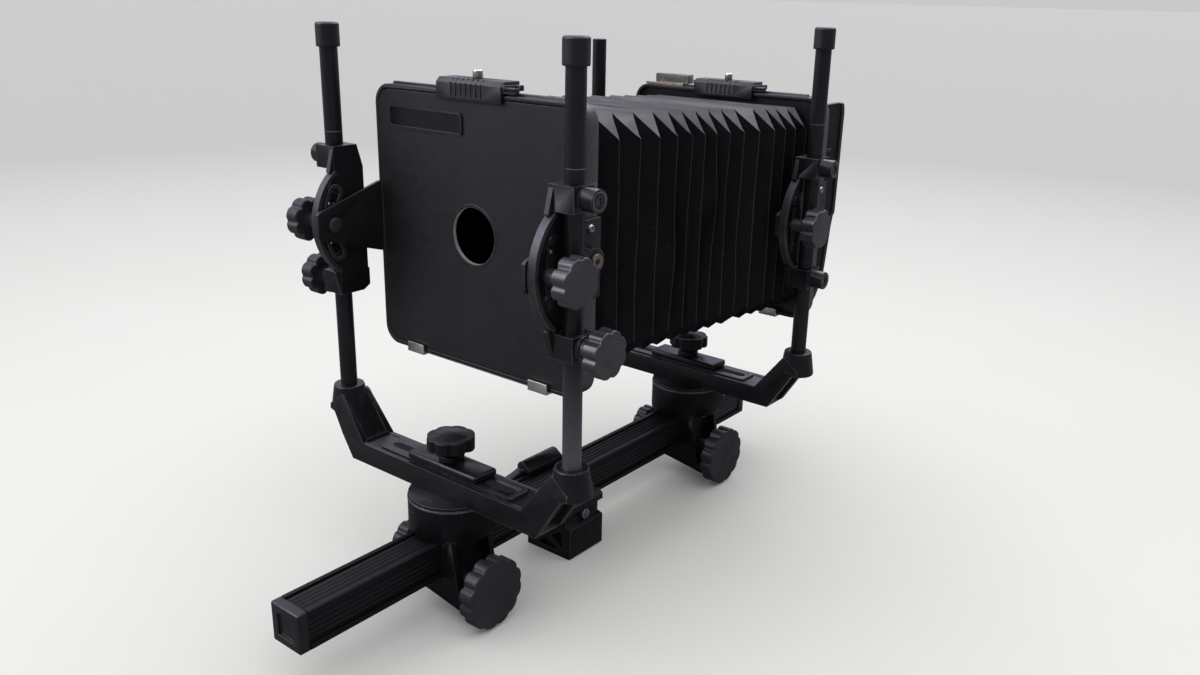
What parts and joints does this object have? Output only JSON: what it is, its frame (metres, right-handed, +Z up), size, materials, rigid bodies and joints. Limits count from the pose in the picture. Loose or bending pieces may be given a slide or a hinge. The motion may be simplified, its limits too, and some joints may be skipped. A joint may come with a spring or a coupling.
{
  "type": "view camera",
  "caption": "Monorail view camera without a lens: front and rear standards with swing, shift, rise and tilt on a square rail, joined by a pleated bellows",
  "frame": {"origin": "on the tripod block's underside, straight below the rail's centreline and halfway along the block", "axes": "+Z up, the lens looks along -Y, and +X is on the right of someone who faces the lens"},
  "size_m": [0.2488, 0.4652, 0.3542],
  "materials": {
    "anodised_black": "satin black anodised",
    "black_enamel": "fine crinkled black enamel",
    "knob_plastic": "fine grained, worn on the lobes",
    "cap_plastic": "fine grained",
    "block_plastic": "fine grained",
    "back_plastic": "fine grained",
    "frame_black": "satin black enamel",
    "board_black": "fine pebbled black",
    "bellows_cloth": "coated pleated cloth, worn on the folds",
    "steel": "machined",
    "nickel": "plated, satin",
    "clear_acrylic": "clear with a green cast",
    "ground_glass": "finely ground"
  },
  "bodies": {
    "rail": {"monorail": "anodised_black", "rail_cap_front": "cap_plastic", "rail_cap_rear": "cap_plastic", "focus_rack": "steel", "tripod_block": "block_plastic", "tripod_jaw": "block_plastic", "bellows": "bellows_cloth"},
    "tripod_screw_turn": {"tripod_screw": "steel"},
    "front_carriage": {"front_rail_clamp": "black_enamel"},
    "front_focus_drive": {"front_focus_pinion": "steel", "front_focus_knob": "knob_plastic"},
    "front_rail_lock": {"front_lock_knob": "knob_plastic"},
    "front_swing": {"front_turntable": "black_enamel", "front_shift_plate": "knob_plastic"},
    "front_shift_lock": {"front_shift_knob": "knob_plastic"},
    "front_upright": {"front_u_frame": "black_enamel", "front_rod_left": "anodised_black", "front_rod_right": "anodised_black", "front_rod_cap_left": "cap_plastic", "front_rod_cap_right": "cap_plastic"},
    "front_lift": {"front_bracket_right": "black_enamel", "front_bracket_left": "black_enamel"},
    "front_tilt": {"front_frame": "frame_black", "front_arm_right": "frame_black", "front_arm_left": "frame_black", "front_board_hooks": "nickel", "lens_board": "board_black", "badge_plate": "back_plastic"},
    "front_tilt_lock_right": {"front_tilt_knob_right": "knob_plastic"},
    "front_tilt_lock_left": {"front_tilt_knob_left": "knob_plastic"},
    "front_board_lock": {"front_top_lock": "back_plastic", "front_lock_stud": "nickel"},
    "front_rise_lock_right": {"front_rise_knob_right": "knob_plastic"},
    "front_rise_lock_left": {"front_rise_knob_left": "knob_plastic"},
    "rear_carriage": {"rear_rail_clamp": "black_enamel"},
    "rear_focus_drive": {"rear_focus_pinion": "steel", "rear_focus_knob": "knob_plastic"},
    "rear_rail_lock": {"rear_lock_knob": "knob_plastic"},
    "rear_swing": {"rear_turntable": "black_enamel", "rear_shift_plate": "knob_plastic"},
    "rear_shift_lock": {"rear_shift_knob": "knob_plastic"},
    "rear_upright": {"rear_u_frame": "black_enamel", "rear_rod_left": "anodised_black", "rear_rod_right": "anodised_black", "rear_rod_cap_right": "cap_plastic"},
    "rear_lift": {"rear_bracket_right": "black_enamel", "rear_bracket_left": "black_enamel"},
    "rear_tilt": {"rear_frame": "frame_black", "rear_arm_right": "frame_black", "rear_arm_left": "frame_black", "rear_board_hooks": "nickel", "spirit_level": "clear_acrylic"},
    "rear_tilt_lock_right": {"rear_tilt_knob_right": "knob_plastic"},
    "rear_tilt_lock_left": {"rear_tilt_knob_left": "knob_plastic"},
    "rear_board_lock": {"rear_top_lock": "back_plastic", "rear_lock_stud": "nickel"},
    "rear_back": {"focusing_back": "back_plastic", "ground_glass": "ground_glass", "back_spring_upper": "steel", "back_spring_lower": "steel"}
  },
  "joints": [
    {"name": "tripod_screw", "type": "hinge", "parent": "rail", "child": "tripod_screw_turn", "pos_m": [0, 0, 0.0292], "axis": [1, 0, 0], "range_deg": [-90, 270]},
    {"name": "front_focus", "type": "slide", "parent": "rail", "child": "front_carriage", "axis": [0, 1, 0], "range_m": [-0.09, 0.025], "deforming": ["bellows"]},
    {"name": "front_focus_turn", "type": "hinge", "parent": "front_carriage", "child": "front_focus_drive", "pos_m": [0, -0.1075, 0.0244], "axis": [1, 0, 0], "range_deg": [-1000, 290]},
    {"name": "front_rail_lock_turn", "type": "hinge", "parent": "front_carriage", "child": "front_rail_lock", "pos_m": [0, -0.1015, 0.029], "axis": [1, 0, 0], "range_deg": [0, 270]},
    {"name": "front_swing", "type": "hinge", "parent": "front_carriage", "child": "front_swing", "pos_m": [0, -0.0975, 0.0766], "axis": [0, 0, 1], "range_deg": [-15, 15]},
    {"name": "front_shift_lock_turn", "type": "hinge", "parent": "front_swing", "child": "front_shift_lock", "pos_m": [0, -0.0975, 0.11], "axis": [0, 0, 1], "range_deg": [0, 270]},
    {"name": "front_shift", "type": "slide", "parent": "front_swing", "child": "front_upright", "axis": [1, 0, 0], "range_m": [-0.02, 0.02]},
    {"name": "front_rise", "type": "slide", "parent": "front_upright", "child": "front_lift", "axis": [0, 0, 1], "range_m": [-0.02, 0.045]},
    {"name": "front_tilt", "type": "hinge", "parent": "front_lift", "child": "front_tilt", "pos_m": [0, -0.0715, 0.2348], "axis": [1, 0, 0], "range_deg": [-15, 15]},
    {"name": "front_tilt_lock_right_turn", "type": "hinge", "parent": "front_tilt", "child": "front_tilt_lock_right", "pos_m": [0, -0.1115, 0.2348], "axis": [1, 0, 0], "range_deg": [0, 270]},
    {"name": "front_tilt_lock_left_turn", "type": "hinge", "parent": "front_tilt", "child": "front_tilt_lock_left", "pos_m": [0, -0.1115, 0.2348], "axis": [1, 0, 0], "range_deg": [0, 270]},
    {"name": "front_board_lock_slide", "type": "slide", "parent": "front_tilt", "child": "front_board_lock", "axis": [1, 0, 0], "range_m": [-0.004, 0.004]},
    {"name": "front_rise_lock_right_turn", "type": "hinge", "parent": "front_lift", "child": "front_rise_lock_right", "pos_m": [0, -0.0975, 0.1948], "axis": [1, 0, 0], "range_deg": [0, 270]},
    {"name": "front_rise_lock_left_turn", "type": "hinge", "parent": "front_lift", "child": "front_rise_lock_left", "pos_m": [0, -0.0975, 0.1948], "axis": [1, 0, 0], "range_deg": [0, 270]},
    {"name": "rear_focus", "type": "slide", "parent": "rail", "child": "rear_carriage", "axis": [0, 1, 0], "range_m": [-0.035, 0.042], "deforming": ["bellows"]},
    {"name": "rear_focus_turn", "type": "hinge", "parent": "rear_carriage", "child": "rear_focus_drive", "pos_m": [0, 0.1537, 0.0244], "axis": [1, 0, 0], "range_deg": [-400, 480]},
    {"name": "rear_rail_lock_turn", "type": "hinge", "parent": "rear_carriage", "child": "rear_rail_lock", "pos_m": [0, 0.1597, 0.029], "axis": [1, 0, 0], "range_deg": [0, 270]},
    {"name": "rear_swing", "type": "hinge", "parent": "rear_carriage", "child": "rear_swing", "pos_m": [0, 0.1637, 0.0766], "axis": [0, 0, 1], "range_deg": [-15, 15]},
    {"name": "rear_shift_lock_turn", "type": "hinge", "parent": "rear_swing", "child": "rear_shift_lock", "pos_m": [0, 0.1637, 0.11], "axis": [0, 0, 1], "range_deg": [0, 270]},
    {"name": "rear_shift", "type": "slide", "parent": "rear_swing", "child": "rear_upright", "axis": [1, 0, 0], "range_m": [-0.02, 0.02]},
    {"name": "rear_rise", "type": "slide", "parent": "rear_upright", "child": "rear_lift", "axis": [0, 0, 1], "range_m": [-0.01, 0.055]},
    {"name": "rear_tilt", "type": "hinge", "parent": "rear_lift", "child": "rear_tilt", "pos_m": [0, 0.1897, 0.22], "axis": [1, 0, 0], "range_deg": [-15, 15]},
    {"name": "rear_tilt_lock_right_turn", "type": "hinge", "parent": "rear_tilt", "child": "rear_tilt_lock_right", "pos_m": [0, 0.1497, 0.22], "axis": [1, 0, 0], "range_deg": [0, 270]},
    {"name": "rear_tilt_lock_left_turn", "type": "hinge", "parent": "rear_tilt", "child": "rear_tilt_lock_left", "pos_m": [0, 0.1497, 0.22], "axis": [1, 0, 0], "range_deg": [0, 270]},
    {"name": "rear_board_lock_slide", "type": "slide", "parent": "rear_tilt", "child": "rear_board_lock", "axis": [1, 0, 0], "range_m": [-0.004, 0.004]},
    {"name": "rear_back_slide", "type": "slide", "parent": "rear_tilt", "child": "rear_back", "axis": [0, 1, 0], "range_m": [0, 0.012]}
  ],
  "couplings": [
    {"joint": "front_focus_turn", "follows": "front_focus", "rad_per_m": 190.48},
    {"joint": "rear_focus_turn", "follows": "rear_focus", "rad_per_m": 190.48}
  ]
}
